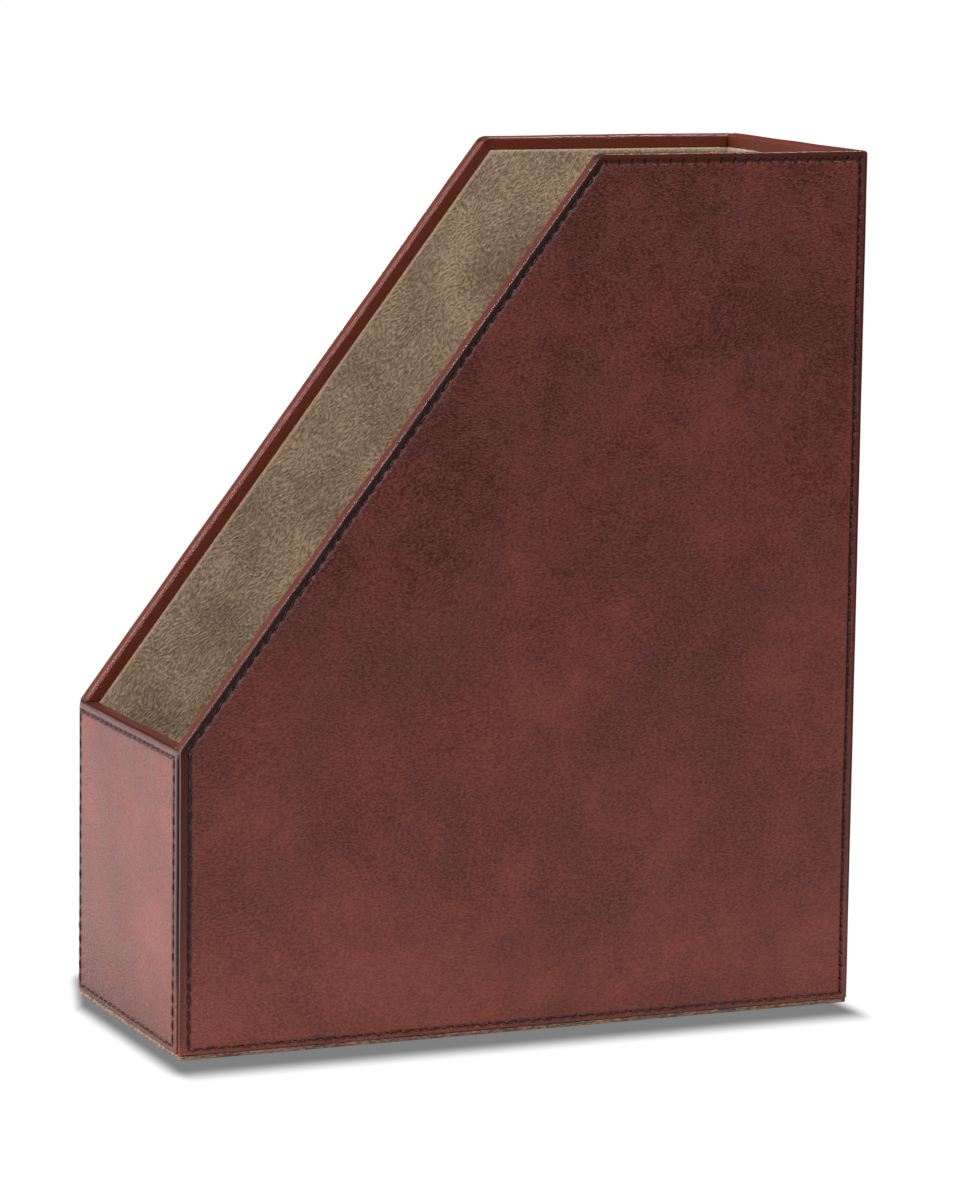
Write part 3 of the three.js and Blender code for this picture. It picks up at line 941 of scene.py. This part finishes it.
def raw_sole_leather():
    """Undyed vegetable-tanned hide with a knife-cut edge: pale tan, matt, streaked along its layers."""
    material, tree, shader, place = new_material("undyed_sole_leather")
    layered = add_node(tree, "ShaderNodeMapping", {"Vector": place, "Scale": (0.3, 0.3, 1)}).outputs[0]
    inputs = {"Vector": layered, "Scale": 1 / (0.7 * MM), "Detail": 4.0}
    streaks = add_node(tree, "ShaderNodeTexNoise", inputs).outputs["Fac"]
    inputs = {"Vector": place, "Scale": 1 / (12 * MM), "Detail": 3.0}
    stains = add_node(tree, "ShaderNodeTexNoise", inputs).outputs["Fac"]
    tone = weighed(tree, -0.2, [(stains, 0.4), (streaks, 1.0)])
    tans = [(0.36, "#5c4334"), (0.5, "#80624f"), (0.66, "#a28570")]
    dyed = add_node(tree, "ShaderNodeValToRGB", {"Fac": tone}, tans).outputs["Color"]
    inputs = {"Height": streaks, "Strength": 0.5, "Distance": 0.3 * MM}
    bump = add_node(tree, "ShaderNodeBump", inputs).outputs["Normal"]
    tree.links.new(dyed, shader.inputs["Base Color"])
    tree.links.new(bump, shader.inputs["Normal"])
    shader.inputs["Roughness"].default_value = 0.8
    return material


def greyboard():
    """Pulped board pressed flat: drab, matt, flecked with fibres."""
    material, tree, shader, place = new_material("pressed_greyboard")
    inputs = {"Vector": place, "Scale": 1 / (2 * MM), "Detail": 5.0}
    flecks = add_node(tree, "ShaderNodeTexNoise", inputs).outputs["Fac"]
    drabs = [(0.35, "#83705a"), (0.5, "#a08a6c"), (0.65, "#b6a384")]
    dyed = add_node(tree, "ShaderNodeValToRGB", {"Fac": flecks}, drabs).outputs["Color"]
    tree.links.new(dyed, shader.inputs["Base Color"])
    shader.inputs["Roughness"].default_value = 0.9
    return material


LEATHER, SUEDE, THREAD = waxed_leather(), split_suede(), waxed_thread()
SOLE, BOARD = raw_sole_leather(), greyboard()


# The object


def give(piece, material):
    piece.data.materials.clear()
    piece.data.materials.append(material)


def fit(piece, material, node):
    """Finishes a piece, and puts it in the place of its node."""
    give(piece, material)
    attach(piece, "root")
    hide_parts(node)


for wall in WALLS:
    fit(make_cover(wall), LEATHER, f"{wall.name}_leather")
    fit(make_stitching(wall), THREAD, f"{wall.name}_stitching")
    fit(make_lining(wall), SUEDE, f"{wall.name}_lining")
base_suede = make_sheet(
    "base_suede", "base_lining", corner_radius=0.5 * MM, edge_radius=0.5 * MM, spacing=6 * MM, reach=0,
)
add_attribute(base_suede, "edge_highlight", [0.0] * len(base_suede.data.vertices))
fit(base_suede, SUEDE, "base_lining")
sole = make_sheet(
    "sole", "sole_leather", corner_radius=1.2 * MM, edge_radius=0.2 * MM, spacing=1.5 * MM,
    reach=SOLE_WAVER.reach,
)
fit(sole, SOLE, "sole_leather")
for node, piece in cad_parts.items():
    if node.endswith("_board"):
        give(piece, BOARD)


# The stage

FLOOR_SIZE = 12
FLOOR_NEAR_EDGE = 0.22  # past the object, on the side of the camera
PAPER, PAPER_SEEN = "#a0a0a0", "#202020"  # as it throws light back, and under the glow that is seen
ROOM, ROOM_MIRRORED = 0.4, 0.1  # how bright the studio is, and in reflections

# The painted shadow: the rectangle where it is full, how far it takes to fade in y, how many times as far in
# x, and how a corner is cut off it (how fast the fading goes in x and y past the cut, and from where)
PAINTED_SHADOW_LOW, PAINTED_SHADOW_HIGH = (-0.0723, -0.1366, 0), (0.068, 0.1255, 0)
PAINTED_SHADOW_FADE = 0.0092
PAINTED_SHADOW_STRETCH = 2.28
PAINTED_SHADOW_CUT, PAINTED_SHADOW_CUT_FROM = (-0.444, -1.471, 0), -0.2177
PAINTED_SHADOW_GLOW = 0.2  # how much the paper still glows where its painted shadow is full

# Painted shadow in reflections: the paper is dimmer in reflections close to the object: how much so, and
# where that ends
MIRRORED_GLOW = 0.6
MIRRORED_FROM, MIRRORED_TO = 2 * PAINTED_SHADOW_FADE, 7 * PAINTED_SHADOW_FADE


def add_light(name, place, size, power):
    """A square soft light, aimed at the middle of the object."""
    bpy.ops.object.light_add(type="AREA", location=place)
    light = bpy.context.object
    light.name = name
    light.data.size = size
    light.data.energy = power
    light.rotation_euler = (Vector((0, 0, TOP / 2)) - Vector(place)).to_track_quat("-Z", "Y").to_euler()


add_light("key_light", (-0.9, -2.3, 0.9), 1.7, 70)
add_light("fill_light", (2.0, -1.2, 1.9), 0.5, 40)
add_light("top_light", (0.15, 0.95, 2.05), 0.3, 21)
add_light("rim_light", (-2.2, 0.55, 0.32), 0.25, 4)
add_light("glint_light", (-0.45, -1.55, 1.8), 0.2, 11)


def reflected_or_through(tree, rays):
    inputs = {0: rays["Is Glossy Ray"], 1: rays["Is Transmission Ray"]}
    return add_node(tree, "ShaderNodeMath", inputs, operation="MAXIMUM").outputs[0]


def past_painted_shadow(tree, floor):
    """How far outside its painted shadow a point of the floor lies, in the measure of its fading."""
    place = add_node(tree, "ShaderNodeTexCoord").outputs["Object"]
    place = add_node(tree, "ShaderNodeVectorMath", {0: place, 1: floor.location}, operation="ADD").outputs[0]
    past = (0, 0, 0)
    for inputs in [{0: place, 1: PAINTED_SHADOW_HIGH}, {0: PAINTED_SHADOW_LOW, 1: place}]:
        side = add_node(tree, "ShaderNodeVectorMath", inputs, operation="SUBTRACT").outputs[0]
        side = add_node(tree, "ShaderNodeVectorMath", {0: side, 1: (0, 0, 0)}, operation="MAXIMUM").outputs[0]
        inputs = {0: side, 1: (1 / PAINTED_SHADOW_STRETCH, 1, 0), 2: past}
        past = add_node(tree, "ShaderNodeVectorMath", inputs, operation="MULTIPLY_ADD").outputs[0]
    inputs = {0: place, 1: PAINTED_SHADOW_CUT}
    cut = add_node(tree, "ShaderNodeVectorMath", inputs, operation="DOT_PRODUCT").outputs["Value"]
    cut = add_node(tree, "ShaderNodeMath", {0: cut, 1: PAINTED_SHADOW_CUT_FROM}, operation="ADD").outputs[0]
    cut = add_node(tree, "ShaderNodeCombineXYZ", {"Y": cut}).outputs[0]
    past = add_node(tree, "ShaderNodeVectorMath", {0: past, 1: cut}, operation="MAXIMUM").outputs[0]
    return add_node(tree, "ShaderNodeVectorMath", {0: past}, operation="LENGTH").outputs["Value"]


def make_floor():
    """White paper. It glows to what looks at it, save in a narrow soft shadow painted at the foot of the
    object.
    """
    place = (FLOOR_NEAR_EDGE - FLOOR_SIZE / 2, 0, 0)
    bpy.ops.mesh.primitive_plane_add(size=FLOOR_SIZE, location=place)
    floor = bpy.context.object
    floor.name = "floor"
    material = bpy.data.materials.new("white_paper_sweep")
    material.use_nodes = True
    tree = material.node_tree
    shader = tree.nodes["Principled BSDF"]
    shader.inputs["Roughness"].default_value = 1.0
    shader.inputs["Specular IOR Level"].default_value = 0.0
    shader.inputs["Emission Color"].default_value = (1, 1, 1, 1)
    rays = add_node(tree, "ShaderNodeLightPath").outputs
    inputs = {FACTOR: rays["Is Camera Ray"], FROM: linear(PAPER), TO: linear(PAPER_SEEN)}
    paper = add_node(tree, "ShaderNodeMix", inputs, data_type="RGBA").outputs[MIXED]
    tree.links.new(paper, shader.inputs["Base Color"])
    past = past_painted_shadow(tree, floor)
    inputs = {"Value": past, "From Max": PAINTED_SHADOW_FADE, "To Min": PAINTED_SHADOW_GLOW}
    seen = add_node(tree, "ShaderNodeMapRange", inputs, interpolation_type="SMOOTHSTEP").outputs["Result"]
    inputs = {0: rays["Is Camera Ray"], 1: seen}
    seen = add_node(tree, "ShaderNodeMath", inputs, operation="MULTIPLY").outputs[0]
    inputs = {"Value": past, "From Min": MIRRORED_FROM, "From Max": MIRRORED_TO, "To Min": MIRRORED_GLOW}
    mirrored = add_node(tree, "ShaderNodeMapRange", inputs).outputs["Result"]
    inputs = {0: reflected_or_through(tree, rays), 1: mirrored, 2: seen}
    glow = add_node(tree, "ShaderNodeMath", inputs, operation="MULTIPLY_ADD").outputs[0]
    tree.links.new(glow, shader.inputs["Emission Strength"])
    floor.data.materials.append(material)


def make_world():
    """White behind the object, also in reflections low down on that side. Elsewhere the studio is dim."""
    world = bpy.data.worlds.new("studio")
    world.use_nodes = True
    bpy.context.scene.world = world
    tree = world.node_tree
    rays = add_node(tree, "ShaderNodeLightPath").outputs
    direction = add_node(tree, "ShaderNodeTexCoord").outputs["Generated"]
    axes = add_node(tree, "ShaderNodeSeparateXYZ", {"Vector": direction}).outputs
    low = add_node(tree, "ShaderNodeMath", {0: axes["Z"], 1: 0.0}, operation="LESS_THAN").outputs[0]
    behind = add_node(tree, "ShaderNodeMath", {0: axes["X"], 1: 0.0}, operation="LESS_THAN").outputs[0]
    sweep = add_node(tree, "ShaderNodeMath", {0: low, 1: behind}, operation="MULTIPLY").outputs[0]
    mirrored = reflected_or_through(tree, rays)
    inputs = {"Value": mirrored, "To Min": ROOM, "To Max": ROOM_MIRRORED}
    unseen = add_node(tree, "ShaderNodeMapRange", inputs).outputs["Result"]
    seen = add_node(tree, "ShaderNodeMath", {0: mirrored, 1: sweep}, operation="MULTIPLY").outputs[0]
    inputs = {0: seen, 1: rays["Is Camera Ray"]}
    seen = add_node(tree, "ShaderNodeMath", inputs, operation="MAXIMUM").outputs[0]
    inputs = {"Value": seen, "To Min": unseen, "To Max": 1.0}
    strength = add_node(tree, "ShaderNodeMapRange", inputs).outputs["Result"]
    tree.links.new(strength, tree.nodes["Background"].inputs["Strength"])
    tree.nodes["Background"].inputs["Color"].default_value = (1, 1, 1, 1)


make_floor()
make_world()

# The camera
camera_data = bpy.data.cameras.new("camera")
camera_data.lens = 148.3
camera_data.sensor_width = 36
camera = bpy.data.objects.new("camera", camera_data)
bpy.context.scene.collection.objects.link(camera)
yaw, tilt, roll = radians(66.68), radians(90 - 8.73), radians(0.79)
camera.matrix_world = (
    Matrix.Translation((1.6699, -0.7152, 0.4304))
    @ Matrix.Rotation(yaw, 4, "Z")
    @ Matrix.Rotation(tilt, 4, "X")
    @ Matrix.Rotation(roll, 4, "Z")
)
bpy.context.scene.camera = camera
bpy.context.scene.view_settings.view_transform = "Standard"
